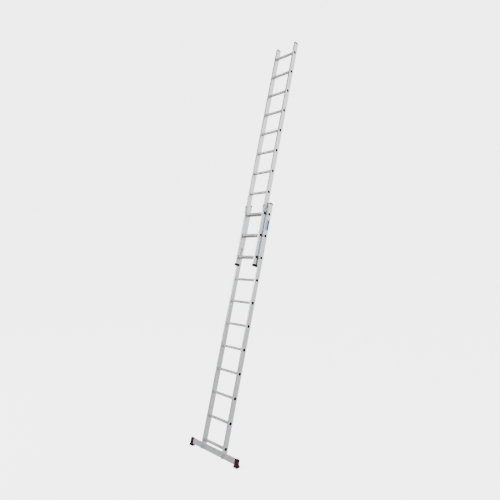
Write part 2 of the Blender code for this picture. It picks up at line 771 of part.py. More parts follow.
def make_fly(base_section):
    place = (0, -SECTION_STEP, RUNGS_EXTENDED * RUNG_PITCH)
    section = make_empty("fly_section", base_section, place)
    make_rungs("fly", FLY_WIDTH, section)
    for word, side in (("left", -1), ("right", 1)):
        make_stringer(
            f"fly_stringer_{word}", side, FLY_WIDTH, FLY_STRINGER_THICK,
            FLY_BELOW, FLY_ABOVE, section, fly_cuts(side),
        )
        make_top_cap(
            f"fly_top_cap_{word}", side, FLY_WIDTH, FLY_STRINGER_THICK,
            FLY_ABOVE, BLACK_PLASTIC, section,
        )
        make_shoe(f"fly_shoe_{word}", side, section)
        make_glide(f"fly_glide_{word}", side, section)
        pivot = make_empty(f"latch_pivot_{word}", section, (0, PIVOT_BACK, PIVOT_UP))
        make_latch(f"latch_hook_{word}", side, pivot)
        make_latch_pin(f"latch_pin_{word}", side, pivot)
        make_latch_stop(f"latch_stop_{word}", side, pivot)
        make_latch_spring(f"latch_spring_{word}", side, pivot)


def centre_on_floor(root):
    """Move the ladder so that the middle of its box's underside is the origin."""
    bpy.context.view_layer.update()
    view = bpy.context.evaluated_depsgraph_get()
    corners = []
    for part in PARTS.objects:
        if part.type == "MESH":
            solid = part.evaluated_get(view)
            corners.extend(solid.matrix_world @ vertex.co for vertex in solid.data.vertices)
    middle_x = (min(c.x for c in corners) + max(c.x for c in corners)) / 2
    middle_y = (min(c.y for c in corners) + max(c.y for c in corners)) / 2
    root.location = (-middle_x, -middle_y, -min(c.z for c in corners))
    bpy.context.view_layer.update()


clear_scene()
PARTS = make_collection("extension_ladder")
CUTTERS = make_collection("cutters")
ALUMINIUM = make_material("aluminium", (0.62, 0.64, 0.66), 0.42, 0.9)
RUNG_ALUMINIUM = make_material("rung_aluminium", (0.56, 0.55, 0.53), 0.45, 0.9)
STEEL = make_material("galvanised_steel", (0.42, 0.47, 0.50), 0.45, 0.9)
ZINC = make_material("zinc_plated_steel", (0.55, 0.56, 0.58), 0.35, 1.0)
SPRING_STEEL = make_material("spring_steel", (0.30, 0.30, 0.32), 0.35, 1.0)
WINE_PLASTIC = make_material("wine_plastic", (0.09, 0.012, 0.025), 0.40, 0.0)
BLACK_PLASTIC = make_material("black_plastic", (0.02, 0.02, 0.022), 0.50, 0.0)
BLACK_RUBBER = make_material("black_rubber", (0.012, 0.012, 0.013), 0.80, 0.0)

ROOT = make_empty("ladder", None, (0, 0, 0))
BASE = make_base(ROOT)
make_fly(BASE)
centre_on_floor(ROOT)
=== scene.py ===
"""Looks of the two-section aluminium extension ladder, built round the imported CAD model."""
import json
import math

import bmesh
import bpy
from mathutils import Matrix, Vector


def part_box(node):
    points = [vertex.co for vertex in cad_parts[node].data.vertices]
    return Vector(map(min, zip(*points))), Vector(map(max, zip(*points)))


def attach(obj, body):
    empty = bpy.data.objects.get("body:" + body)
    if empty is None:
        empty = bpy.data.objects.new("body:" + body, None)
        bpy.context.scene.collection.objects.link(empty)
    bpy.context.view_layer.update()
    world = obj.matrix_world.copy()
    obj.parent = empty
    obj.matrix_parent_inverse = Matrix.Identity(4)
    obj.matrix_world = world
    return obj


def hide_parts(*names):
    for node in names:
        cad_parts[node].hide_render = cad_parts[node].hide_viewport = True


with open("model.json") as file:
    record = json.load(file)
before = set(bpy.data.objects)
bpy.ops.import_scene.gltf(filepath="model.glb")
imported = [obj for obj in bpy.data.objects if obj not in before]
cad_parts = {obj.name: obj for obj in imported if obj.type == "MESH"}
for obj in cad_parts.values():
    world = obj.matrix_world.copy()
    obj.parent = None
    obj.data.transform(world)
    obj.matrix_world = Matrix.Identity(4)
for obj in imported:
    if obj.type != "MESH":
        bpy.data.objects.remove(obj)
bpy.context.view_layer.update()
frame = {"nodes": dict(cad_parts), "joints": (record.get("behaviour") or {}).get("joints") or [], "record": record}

NODES = frame["nodes"]
RECORD = frame["record"]
SLIDE = next(joint for joint in frame["joints"] if joint["name"] == "fly_slide")
ALONG = Vector(SLIDE["axis"]).normalized()             # up the ladder
LEAN = math.atan2(ALONG.z, ALONG.y)


def middle(node):
    low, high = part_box(node)
    return (low + high) / 2


BASE_ORIGIN = middle("base_rung_01")
FLY_ORIGIN = middle("fly_rung_01")
PITCH = (middle("base_rung_02") - BASE_ORIGIN).length
RUNG_COUNT = sum(name.startswith("base_rung_") for name in NODES)
SIDES = (("left", -1), ("right", 1))
GAP = 0.0003                                           # between pieces that touch


def section_space(origin):
    """Frame of one section: x along the rungs, y through the ladder, z up the ladder."""
    return Matrix.Translation(origin) @ Matrix.Rotation(LEAN - math.pi / 2, 4, "X")


BASE_SPACE = section_space(BASE_ORIGIN)
FLY_SPACE = section_space(FLY_ORIGIN)


def local_box(node, space=BASE_SPACE):
    """Lowest and highest corners of a CAD node in a section's own frame."""
    inverse = space.inverted()
    points = [inverse @ vertex.co for vertex in NODES[node].data.vertices]
    low = Vector([min(point[axis] for point in points) for axis in range(3)])
    high = Vector([max(point[axis] for point in points) for axis in range(3)])
    return low, high


# ---------------------------------------------------------------- material helpers

class Nodes:
    """A short way to write a material's node tree."""

    def __init__(self, name):
        self.material = bpy.data.materials.new(name)
        self.material.use_nodes = True
        self.tree = self.material.node_tree
        self.shader = self.tree.nodes["Principled BSDF"]

    def new(self, kind, **values):
        node = self.tree.nodes.new(kind)
        for key, value in values.items():
            setattr(node, key, value)
        return node

    def link(self, source, target):
        self.tree.links.new(source, target)

    def ladder_space(self, scale):
        """Object coordinates turned so that z runs up the ladder, then scaled."""
        place = self.new("ShaderNodeTexCoord")
        turn = self.new("ShaderNodeMapping")
        turn.inputs["Rotation"].default_value = (math.pi / 2 - LEAN, 0.0, 0.0)
        self.link(place.outputs["Object"], turn.inputs["Vector"])
        stretch = self.new("ShaderNodeMapping")
        stretch.inputs["Scale"].default_value = scale
        self.link(turn.outputs["Vector"], stretch.inputs["Vector"])
        return stretch.outputs["Vector"]

    def noise(self, vector, scale=1.0, detail=4.0, roughness=0.55):
        node = self.new("ShaderNodeTexNoise")
        node.inputs["Scale"].default_value = scale
        node.inputs["Detail"].default_value = detail
        node.inputs["Roughness"].default_value = roughness
        self.link(vector, node.inputs["Vector"])
        return node.outputs["Fac"]

    def ramp(self, value, stops):
        node = self.new("ShaderNodeValToRGB")
        ramp = node.color_ramp
        while len(ramp.elements) < len(stops):
            ramp.elements.new(0.5)
        for element, (position, colour) in zip(ramp.elements, stops):
            element.position = position
            element.color = (*colour, 1.0)
        self.link(value, node.inputs["Fac"])
        return node.outputs["Color"]

    def span(self, value, low, high, start=0.0, end=1.0):
        """Map a value from start..end to low..high."""
        node = self.new("ShaderNodeMapRange")
        node.inputs["From Min"].default_value = start
        node.inputs["From Max"].default_value = end
        node.inputs["To Min"].default_value = low
        node.inputs["To Max"].default_value = high
        self.link(value, node.inputs["Value"])
        return node.outputs["Result"]

    def maths(self, operation, first, second):
        node = self.new("ShaderNodeMath", operation=operation)
        for socket, value in zip(node.inputs, (first, second)):
            if isinstance(value, (int, float)):
                socket.default_value = value
            else:
                self.link(value, socket)
        return node.outputs["Value"]

    def mix(self, factor, first, second):
        node = self.new("ShaderNodeMix", data_type="RGBA")
        factor_socket, first_socket, second_socket = (node.inputs[index] for index in (0, 6, 7))
        for socket, value in ((factor_socket, factor), (first_socket, first), (second_socket, second)):
            if isinstance(value, (int, float)):
                socket.default_value = value
            elif isinstance(value, tuple):
                socket.default_value = (*value, 1.0)
            else:
                self.link(value, socket)
        return node.outputs[2]

    def bump(self, height, distance, strength=1.0, below=None):
        node = self.new("ShaderNodeBump")
        node.inputs["Distance"].default_value = distance
        node.inputs["Strength"].default_value = strength
        self.link(height, node.inputs["Height"])
        if below is not None:
            self.link(below, node.inputs["Normal"])
        return node.outputs["Normal"]

    def finish(self, colour, roughness, normal, metallic):
        self.link(colour, self.shader.inputs["Base Color"])
        self.link(roughness, self.shader.inputs["Roughness"])
        self.link(normal, self.shader.inputs["Normal"])
        self.shader.inputs["Metallic"].default_value = metallic
        return self.material


def brushed_aluminium(name, dark, light, grain, rough_low, rough_high):
    """Extruded aluminium: die lines along the grain, dull patches, fine scratches and handling wear."""
    n = Nodes(name)
    lines = n.noise(n.ladder_space(grain), 1.0, 3.0, 0.6)
    patches = n.noise(n.ladder_space((9.0, 9.0, 1.6)), 1.0, 4.0, 0.6)
    smudges = n.noise(n.ladder_space((40.0, 40.0, 14.0)), 1.0, 5.0, 0.65)
    scratches = n.noise(n.ladder_space(tuple(4.0 * g for g in grain)), 1.0, 2.0, 0.5)
    lined = n.ramp(lines, ((0.30, dark), (0.70, light)))
    patchy = n.ramp(patches, ((0.35, dark), (0.65, light)))
    tone = n.mix(0.35, lined, patchy)
    wear = n.span(scratches, 0.0, 1.0, 0.66, 0.74)
    tone = n.mix(n.maths("MULTIPLY", wear, 0.35), tone, tuple(min(1.0, 1.12 * c) for c in light))
    grime = n.span(smudges, 0.0, 0.22, 0.56, 0.78)
    tone = n.mix(grime, tone, tuple(0.55 * c for c in dark))
    uneven = n.maths("ADD", n.maths("MULTIPLY", lines, 0.6), n.maths("MULTIPLY", smudges, 0.4))
    rough = n.span(uneven, rough_low, rough_high, 0.3, 0.7)
    normal = n.bump(lines, 0.00012, 0.5)
    normal = n.bump(scratches, 0.00006, 0.35, normal)
    return n.finish(tone, rough, normal, 1.0)


def moulded_plastic(name, dark, light, rough_low, rough_high, wear_colour, gloss):
    """Moulded plastic: fine grain, slightly mottled, paler where it has been rubbed."""
    n = Nodes(name)
    grain = n.noise(n.ladder_space((2600.0, 2600.0, 2600.0)), 1.0, 2.0, 0.5)
    mottle = n.noise(n.ladder_space((55.0, 55.0, 55.0)), 1.0, 4.0, 0.6)
    scuff = n.noise(n.ladder_space((160.0, 160.0, 30.0)), 1.0, 5.0, 0.7)
    tone = n.ramp(mottle, ((0.3, dark), (0.7, light)))
    tone = n.mix(n.span(scuff, 0.0, 0.35, 0.62, 0.80), tone, wear_colour)
    rough = n.span(mottle, rough_low, rough_high, 0.3, 0.7)
    normal = n.bump(grain, 0.00008, 0.6)
    normal = n.bump(scuff, 0.00010, 0.25, normal)
    n.shader.inputs["Specular IOR Level"].default_value = gloss
    return n.finish(tone, rough, normal, 0.0)


def galvanised(name):
    """Pressed galvanised steel with a soft spangle."""
    n = Nodes(name)
    cells = n.new("ShaderNodeTexVoronoi", feature="F1")
    cells.inputs["Scale"].default_value = 1.0
    n.link(n.ladder_space((150.0, 150.0, 150.0)), cells.inputs["Vector"])
    spangle = n.ramp(cells.outputs["Color"], ((0.2, (0.34, 0.39, 0.42)), (0.8, (0.47, 0.52, 0.55))))
    haze = n.noise(n.ladder_space((70.0, 70.0, 25.0)), 1.0, 5.0, 0.6)
    tone = n.mix(n.span(haze, 0.0, 0.4, 0.45, 0.7), spangle, (0.30, 0.33, 0.35))
    rough = n.span(haze, 0.32, 0.52, 0.3, 0.7)
    normal = n.bump(haze, 0.0001, 0.4)
    return n.finish(tone, rough, normal, 1.0)


def plated(name, dark, light):
    """Zinc-plated or drawn steel with a slightly cloudy finish."""
    n = Nodes(name)
    cloud = n.noise(n.ladder_space((220.0, 220.0, 220.0)), 1.0, 4.0, 0.6)
    fine = n.noise(n.ladder_space((1500.0, 1500.0, 1500.0)), 1.0, 2.0, 0.5)
    tone = n.ramp(cloud, ((0.3, dark), (0.7, light)))
    rough = n.span(cloud, 0.26, 0.42, 0.3, 0.7)
    normal = n.bump(fine, 0.00005, 0.4)
    return n.finish(tone, rough, normal, 1.0)


def painted_shade_bore(name):
    """Near-black painted shade for the inside of a tube, mottled a little by a dusty noise."""
    n = Nodes(name)
    dust = n.noise(n.ladder_space((90.0, 90.0, 90.0)), 1.0, 4.0, 0.6)
    # near-black tone is painted shade for the depth of the tube; the dust noise only mottles it
    tone = n.ramp(dust, ((0.3, (0.003, 0.003, 0.0035)), (0.7, (0.009, 0.0088, 0.0085))))
    n.shader.inputs["Specular IOR Level"].default_value = 0.1
    return n.finish(tone, n.span(dust, 0.70, 0.90), n.bump(dust, 0.0002, 0.3), 0.0)


def printed_film(name, dark, light):
    """Slightly faded printed film, with fine scuffs."""
    n = Nodes(name)
    fade = n.noise(n.ladder_space((30.0, 30.0, 12.0)), 1.0, 3.0, 0.5)
    scuff = n.noise(n.ladder_space((300.0, 300.0, 40.0)), 1.0, 4.0, 0.7)
    tone = n.ramp(fade, ((0.3, dark), (0.7, light)))
    tone = n.mix(n.span(scuff, 0.0, 0.3, 0.62, 0.78), tone, (0.62, 0.68, 0.74))
    return n.finish(tone, n.span(fade, 0.28, 0.40), n.bump(scuff, 0.00004, 0.3), 0.0)


MATERIALS = {
    "extruded_aluminium": brushed_aluminium(
        "extruded_aluminium", (0.60, 0.62, 0.64), (0.76, 0.78, 0.80), (420.0, 420.0, 2.2), 0.30, 0.44),
    "rung_aluminium": brushed_aluminium(
        "rung_aluminium", (0.35, 0.34, 0.325), (0.47, 0.455, 0.435), (2.2, 420.0, 420.0), 0.38, 0.52),
    "wine_plastic": moulded_plastic(
        "wine_plastic", (0.022, 0.001, 0.006), (0.040, 0.002, 0.011), 0.46, 0.60,
        (0.075, 0.012, 0.028), 0.22),
    "black_plastic": moulded_plastic(
        "black_plastic", (0.003, 0.003, 0.004), (0.007, 0.007, 0.008), 0.50, 0.64,
        (0.022, 0.022, 0.023), 0.18),
    "black_rubber": moulded_plastic(
        "black_rubber", (0.005, 0.005, 0.006), (0.011, 0.011, 0.012), 0.70, 0.88,
        (0.035, 0.035, 0.033), 0.20),
    "galvanised_steel": galvanised("galvanised_steel"),
    "zinc_plated_steel": plated("zinc_plated_steel", (0.50, 0.51, 0.52), (0.66, 0.67, 0.68)),
    "spring_steel": plated("spring_steel", (0.28, 0.28, 0.30), (0.40, 0.40, 0.42)),
}
BAR_ALUMINIUM = brushed_aluminium(
    "bar_aluminium", (0.60, 0.62, 0.64), (0.74, 0.76, 0.78), (2.2, 420.0, 420.0), 0.32, 0.46)
# painted shade: a near-black material that stands for the shade inside the open rung tubes
RUNG_PAINTED_SHADE = painted_shade_bore("rung_mouth_painted_shade")
LABEL_FIELD = printed_film("label_field", (0.20, 0.36, 0.66), (0.28, 0.44, 0.74))
LABEL_BAR = printed_film("label_bar", (0.006, 0.020, 0.10), (0.012, 0.032, 0.14))


# ---------------------------------------------------------------- mesh helpers

def finished(name, shape):
    """Turn a bmesh into a mesh whose faces point out."""
    bmesh.ops.recalc_face_normals(shape, faces=shape.faces)
    mesh = bpy.data.meshes.new(name)
    shape.to_mesh(mesh)
    shape.free()
    return mesh


def evaluated(item):
    """The mesh of an object with its modifiers applied. The object is removed."""
    view = bpy.context.evaluated_depsgraph_get()
    mesh = bpy.data.meshes.new_from_object(item.evaluated_get(view))
    bpy.data.objects.remove(item, do_unlink=True)
    return mesh


def helper(name, data):
    item = bpy.data.objects.new(name, data)
    bpy.context.scene.collection.objects.link(item)
    return item


def extruded(name, loops, length):
    """A flat outline with holes, extruded by length along z about its middle."""
    curve = bpy.data.curves.new(name, "CURVE")
    curve.dimensions = "2D"
    curve.fill_mode = "BOTH"
    curve.extrude = length / 2
    for loop in loops:
        spline = curve.splines.new("POLY")
        spline.points.add(len(loop) - 1)
        for point, (u, v) in zip(spline.points, loop):
            point.co = (u, v, 0.0, 1.0)
        spline.use_cyclic_u = True
    mesh = evaluated(helper(name, curve))
    shape = bmesh.new()
    shape.from_mesh(mesh)
    bmesh.ops.remove_doubles(shape, verts=shape.verts, dist=0.00001)
    return finished(name, shape)


def combined(mesh, tool, operation):
    """Boolean of two closed meshes."""
    item = helper("work", mesh)
    other = helper("tool", tool)
    modifier = item.modifiers.new("Boolean", "BOOLEAN")
    modifier.solver = "EXACT"
    modifier.operation = operation
    modifier.object = other
    result = evaluated(item)
    bpy.data.objects.remove(other, do_unlink=True)
    return result


def bevelled(mesh, width, segments=3, angle=30):
    item = helper("work", mesh)
    modifier = item.modifiers.new("Bevel", "BEVEL")
    modifier.width = width
    modifier.segments = segments
    modifier.limit_method = "ANGLE"
    modifier.angle_limit = math.radians(angle)
    return evaluated(item)


def gathered(name, pieces):
    """One mesh from (mesh, matrix) pairs."""
    shape = bmesh.new()
    for mesh, matrix in pieces:
        placed = mesh.copy()
        placed.transform(matrix)
        shape.from_mesh(placed)
        bpy.data.meshes.remove(placed)
    return finished(name, shape)


def box(name, low, high):
    shape = bmesh.new()
    size = [b - a for a, b in zip(low, high)]
    centre = [(a + b) / 2 for a, b in zip(low, high)]
    matrix = Matrix.Translation(centre) @ Matrix.Diagonal((*size, 1.0))
    bmesh.ops.create_cube(shape, size=1.0, matrix=matrix)
    return finished(name, shape)


def rod(name, radius, length, axis, centre):
    """A cylinder along x or y."""
    turn = Matrix.Rotation(math.pi / 2, 4, "Y" if axis == "x" else "X")
    shape = bmesh.new()
    bmesh.ops.create_cone(
        shape, cap_ends=True, segments=32, radius1=radius, radius2=radius, depth=length,
        matrix=Matrix.Translation(centre) @ turn,
    )
    return finished(name, shape)


def arc(centre, radius, start, end, steps):
    """Points on an arc, with the angles in degrees."""
    points = []
    for step in range(steps + 1):
        angle = math.radians(start + (end - start) * step / steps)
        points.append((centre[0] + radius * math.cos(angle), centre[1] + radius * math.sin(angle)))
    return points


def add_piece(name, mesh, body, slot, replaced, materials=()):
    """A visible piece on a body, in the finish of a slot, that stands for CAD nodes."""
    for material in materials or (MATERIALS[slot],):
        mesh.materials.append(material)
    mesh.shade_smooth()
    mesh.set_sharp_from_angle(angle=math.radians(32))
    item = helper(name, mesh)
    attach(item, body)
    if replaced:
        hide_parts(*replaced)


UPRIGHT = Matrix.Rotation(math.pi / 2, 4, "Z") @ Matrix.Rotation(math.pi / 2, 4, "X")


# ---------------------------------------------------------------- rungs

RUNG_HALF = 0.015
RUNG_ROUND = 0.0095
RUNG_WALL = 0.0015
GROOVE = 0.00045
GROOVES_PER_FLAT = 4
POINTS_PER_GROOVE = 4
CORNER_STEPS = 6
PAINTED_SHADE_FLANGE_FACES = 5                        # strips of faces round the flange at each end that take the bore's near-black painted shade
BEAD = 0.003


def rung_ring(half, groove=0.0):
    """Rounded square whose four flats carry shallow grooves, as (y, z) points."""
    flat = RUNG_HALF - RUNG_ROUND
    radius = half - flat
    count = GROOVES_PER_FLAT * POINTS_PER_GROOVE
    quarter = []
    for n in range(count + 1):
        dip = groove * (0.5 - 0.5 * math.cos(2 * math.pi * n / POINTS_PER_GROOVE))
        quarter.append((half - dip, -flat + 2 * flat * n / count))
    quarter += arc((flat, flat), radius, 0, 90, CORNER_STEPS)[1:-1]
    ring = []
    for turn in range(4):
        c, s = ((1, 0), (0, 1), (-1, 0), (0, -1))[turn]
        ring += [(u * c - v * s, u * s + v * c) for u, v in quarter]
    return ring


def rung_stations(end, inner):
    """(x, half size, groove depth) from a rung's middle out to its flared rim and back inside."""
    body = RUNG_HALF
    bore = body - RUNG_WALL
    bead = inner - GAP
    outside = [
        (0.0, body, GROOVE), (bead - BEAD - 0.0020, body, GROOVE), (bead - BEAD - 0.0006, body, 0.0),
        (bead - BEAD, body + 0.0007, 0.0), (bead - BEAD * 0.75, body + 0.0015, 0.0),
        (bead - BEAD * 0.25, body + 0.0015, 0.0), (bead, body + 0.0007, 0.0), (bead, body, 0.0),
        (end - 0.0010, body, 0.0), (end - 0.0010, body + 0.0016, 0.0), (end - 0.0007, body + 0.0020, 0.0),
        (end - 0.0003, body + 0.0020, 0.0), (end, body + 0.0015, 0.0), (end, body + 0.0006, 0.0),
    ]
    inside = [(end - 0.0008, body - 0.0002, 0.0), (end - 0.0030, bore, 0.0), (0.0, bore, 0.0)]
    return outside, inside


def rung_mesh(name, end, inner):
    """A ribbed tube, swaged at the stringers, with near-black painted shade on the flange and in the bore at each
    end.
    """
    outside, inside = rung_stations(end, inner)
    right = outside + inside
    loop = right + [(-x, half, groove) for x, half, groove in reversed(right)][1:-1]
    mouth = len(outside) - 1
    # the flange and bore faces take material 1, the near-black painted shade
    dark = range(mouth - PAINTED_SHADE_FLANGE_FACES, mouth + 2 * len(inside) + PAINTED_SHADE_FLANGE_FACES)
    shape = bmesh.new()
    rings = []
    for x, half, groove in loop:
        rings.append([shape.verts.new((x, y, z)) for y, z in rung_ring(half, groove)])
    for index, (first, second) in enumerate(zip(rings, rings[1:] + rings[:1])):
        count = len(first)
        for n in range(count):
            m = (n + 1) % count
            face = shape.faces.new((first[n], first[m], second[m], second[n]))
            face.material_index = 1 if index in dark else 0
    return finished(name, shape)


def make_rungs(prefix, body, space):
    end = local_box(f"{prefix}_rung_01", space)[1].x
    inner = local_box(f"{prefix}_stringer_right", space)[0].x
    pattern = rung_mesh(f"{prefix}_rung", end, inner)
    for number in range(1, RUNG_COUNT + 1):
        node = f"{prefix}_rung_{number:02d}"
        mesh = pattern.copy()
        mesh.transform(space @ Matrix.Translation((0, 0, (number - 1) * PITCH)))
        add_piece(node + "_ribbed", mesh, body, "rung_aluminium", [node],
                  (MATERIALS["rung_aluminium"], RUNG_PAINTED_SHADE))


# ---------------------------------------------------------------- stringers

WALL = 0.0018
LIP_DEPTH = 0.0015
LIP_WIDTH = 0.007
STRINGER_ROUND = 0.0022
FRONT_FLUTES = (-0.0045, 0.0045)        # x of the flutes in the front face
FRONT_FLUTE = (0.0008, 0.0005)          # half width and depth
FLANK_FLUTES = (-0.0200, -0.0100, 0.0, 0.0100, 0.0200)  # y of the flutes in the recessed outer flank
FLANK_FLUTE = (0.0007, 0.0003)
INNER_FLUTES = (0.0220, 0.0075, -0.0075, -0.0220)       # y of the flutes in the inner flank
INNER_FLUTE = (0.0009, 0.0004)
BOLT_HOLE = 0.0043                      # radii
RIVET_HOLE = 0.0027
PIN_HOLE = 0.0043
STOP_HOLE = 0.0028
FORK_SPARE = 0.010                      # the bar's slot reaches this far past the stringer's flanks
FORK_DEPTH = 0.050                      # and this far below its lower end


def lip_slope(half, floor, lip):
    """From the lower lip's edge down to the recess of the outer flank."""
    return [(half, -lip - 0.0006), (half - 0.0003, -lip - 0.0001),
            (floor + 0.0003, -lip + 0.0011), (floor, -lip + 0.0017)]


def stringer_outline(half, deep):
    """Box section of the right-hand stringer: rounded corners, two lips and shallow extruded flutes."""
    r = STRINGER_ROUND
    floor = half - LIP_DEPTH
    slope = lip_slope(half, floor, deep - LIP_WIDTH)
    outline = arc((-half + r, -deep + r), r, 180, 270, 4)
    width, depth = FRONT_FLUTE
    for x in FRONT_FLUTES:
        outline += [(x - width, -deep), (x, -deep + depth), (x + width, -deep)]
    outline += arc((half - r, -deep + r), r, 270, 360, 4)
    outline += slope
    width, depth = FLANK_FLUTE
    for y in FLANK_FLUTES:
        outline += [(floor, y - width), (floor - depth, y), (floor, y + width)]
    outline += [(x, -y) for x, y in reversed(slope)]
    outline += arc((half - r, deep - r), r, 0, 90, 4)
    width, depth = FRONT_FLUTE
    for x in reversed(FRONT_FLUTES):
        outline += [(x + width, deep), (x, deep - depth), (x - width, deep)]
    outline += arc((-half + r, deep - r), r, 90, 180, 4)
    width, depth = INNER_FLUTE
    for y in INNER_FLUTES:
        outline += [(-half, y + width), (-half + depth, y), (-half, y - width)]
    cavity = arc((-half + 2 * WALL, -deep + 2 * WALL), WALL, 180, 270, 2)
    cavity += arc((floor - 2 * WALL, -deep + 2 * WALL), WALL, 270, 360, 2)
    cavity += arc((floor - 2 * WALL, deep - 2 * WALL), WALL, 0, 90, 2)
    cavity += arc((-half + 2 * WALL, deep - 2 * WALL), WALL, 90, 180, 2)
    return [outline, cavity]


def stringer_mesh(prefix, side, space, extra):
    """One stringer with its rung holes and the extra cutters, all in the section's frame."""
    word = "right" if side > 0 else "left"
    low, high = local_box(f"{prefix}_stringer_{word}", space)
    thick = high.x - low.x
    deep = (high.y - low.y) / 2
    loops = [[(side * x, y) for x, y in loop] for loop in stringer_outline(thick / 2, deep)]
    mesh = extruded(f"{prefix}_stringer", loops, high.z - low.z)
    mesh.transform(Matrix.Translation((low + high) / 2))
    hole = extruded("rung_hole", [rung_ring(RUNG_HALF + GAP)], thick * 2)
    turn = Matrix.Rotation(math.pi / 2, 4, "Y") @ Matrix.Rotation(math.pi / 2, 4, "Z")
    cuts = []
    for n in range(RUNG_COUNT):
        cuts.append((hole, Matrix.Translation(((low.x + high.x) / 2, 0, n * PITCH)) @ turn))
    return combined(mesh, gathered("cuts", cuts + extra), "DIFFERENCE")


def base_extra(side):
    """Fork for the stabiliser bar, the bolt holes and the rivet holes of one base stringer."""
    word = "right" if side > 0 else "left"
    still = Matrix.Identity(4)
    low, high = local_box("stabiliser_bar")
    stringer_low, stringer_high = local_box(f"base_stringer_{word}")
    slot = box("slot", (stringer_low.x - FORK_SPARE, low.y - GAP, stringer_low.z - FORK_DEPTH),
               (stringer_high.x + FORK_SPARE, high.y + GAP, high.z + GAP))
    cuts = [(slot, still)]
    bolt_low, bolt_high = local_box(f"bar_bolt_{word}")
    centre = (bolt_low + bolt_high) / 2
    for face in (stringer_low.y, stringer_high.y):
        cuts.append((rod("hole", BOLT_HOLE, 0.02, "y", (centre.x, face, centre.z)), still))
    for number in (1, 2):
        rivet_low, rivet_high = local_box(f"guide_rivet_{word}_{number}")
        rivet = (rivet_low + rivet_high) / 2
        wall = stringer_low.x if side > 0 else stringer_high.x
        cuts.append((rod("hole", RIVET_HOLE, 0.01, "x", (wall, rivet.y, rivet.z)), still))
    return cuts


def fly_extra(side):
    """Holes for the latch pin and its stop in one fly stringer's inner wall."""
    word = "right" if side > 0 else "left"
    stringer_low, stringer_high = local_box(f"fly_stringer_{word}", FLY_SPACE)
    wall = stringer_low.x if side > 0 else stringer_high.x
    cuts = []
    for kind, radius in (("pin", PIN_HOLE), ("stop", STOP_HOLE)):
        low, high = local_box(f"latch_{kind}_{word}", FLY_SPACE)
        centre = (low + high) / 2
        cuts.append((rod("hole", radius, 0.01, "x", (wall, centre.y, centre.z)), Matrix.Identity(4)))
    return cuts


def make_stringers():
    for word, side in SIDES:
        for prefix, body, space, extra in (("base", "base", BASE_SPACE, base_extra(side)),
                                           ("fly", "fly", FLY_SPACE, fly_extra(side))):
            node = f"{prefix}_stringer_{word}"
            mesh = stringer_mesh(prefix, side, space, extra)
            mesh.transform(space)
            add_piece(node + "_extrusion", mesh, body, "extruded_aluminium", [node])


# ---------------------------------------------------------------- label

LABEL_LOW = (-0.0250, 2.591)            # y and height on the base's right-hand stringer
LABEL_HIGH = (0.0250, 2.726)
LABEL_THICK = 0.00015
LABEL_ROUND = 0.004


def rounded_rectangle(low, high, radius):
    outline = arc((low[0] + radius, low[1] + radius), radius, 180, 270, 5)
    outline += arc((high[0] - radius, low[1] + radius), radius, 270, 360, 5)
    outline += arc((high[0] - radius, high[1] - radius), radius, 0, 90, 5)
    outline += arc((low[0] + radius, high[1] - radius), radius, 90, 180, 5)
    return outline


def make_label():
    """Plain two-tone sticker without any print, in the recess of the outer flank."""
    flank = local_box("base_stringer_right")[1].x - LIP_DEPTH
    field = extruded("label", [rounded_rectangle(LABEL_LOW, LABEL_HIGH, LABEL_ROUND)], LABEL_THICK)
    bar_low = (0.0010, LABEL_LOW[1] + 0.008)
    bar_high = (LABEL_HIGH[0] - 0.0025, LABEL_HIGH[1] - 0.012)
    bar = extruded("bar", [rounded_rectangle(bar_low, bar_high, 0.0015)], LABEL_THICK / 2)
    for polygon in bar.polygons:
        polygon.material_index = 1
    lift = Matrix.Translation((0, 0, LABEL_THICK * 0.75 + 0.00002))
    mesh = gathered("label", [(field, Matrix.Identity(4)), (bar, lift)])
    mesh.transform(BASE_SPACE @ Matrix.Translation((flank + LABEL_THICK, 0, 0)) @ UPRIGHT)
    add_piece("rating_sticker_plain", mesh, "base", "extruded_aluminium", [], (LABEL_FIELD, LABEL_BAR))


# ---------------------------------------------------------------- guide brackets

BEND = 0.0032                           # inner radius of the plate's bends
GUIDE_THICK = 0.003
GUIDE_LIP = 0.019                       # how far the plate's free end reaches back
GUIDE_EDGE = 0.0004                     # round on the pressed edges


def bent_plate(path, thick, steps=5):
    """Outline of a plate along a path of right-angled bends, thick to the path's left."""
    outer, inner = [], []
    for index, point in enumerate(path):
        here = Vector(point)
        if index in (0, len(path) - 1):
            other = Vector(path[1] if index == 0 else path[-2])
            way = (other - here).normalized() * (1 if index == 0 else -1)
            normal = Vector((-way.y, way.x))
            outer.append(tuple(here))
            inner.append(tuple(here + normal * thick))
            continue
        before = (here - Vector(path[index - 1])).normalized()
        after = (Vector(path[index + 1]) - here).normalized()
        centre = here + (after - before) * (BEND + thick)
        start = math.degrees(math.atan2(-after.y, -after.x))
        end = math.degrees(math.atan2(before.y, before.x))
        sweep = (end - start + 180) % 360 - 180
        outer += arc(centre, BEND + thick, start, start + sweep, steps)
        inner += arc(centre, BEND, start, start + sweep, steps)
    return outer + inner[::-1]


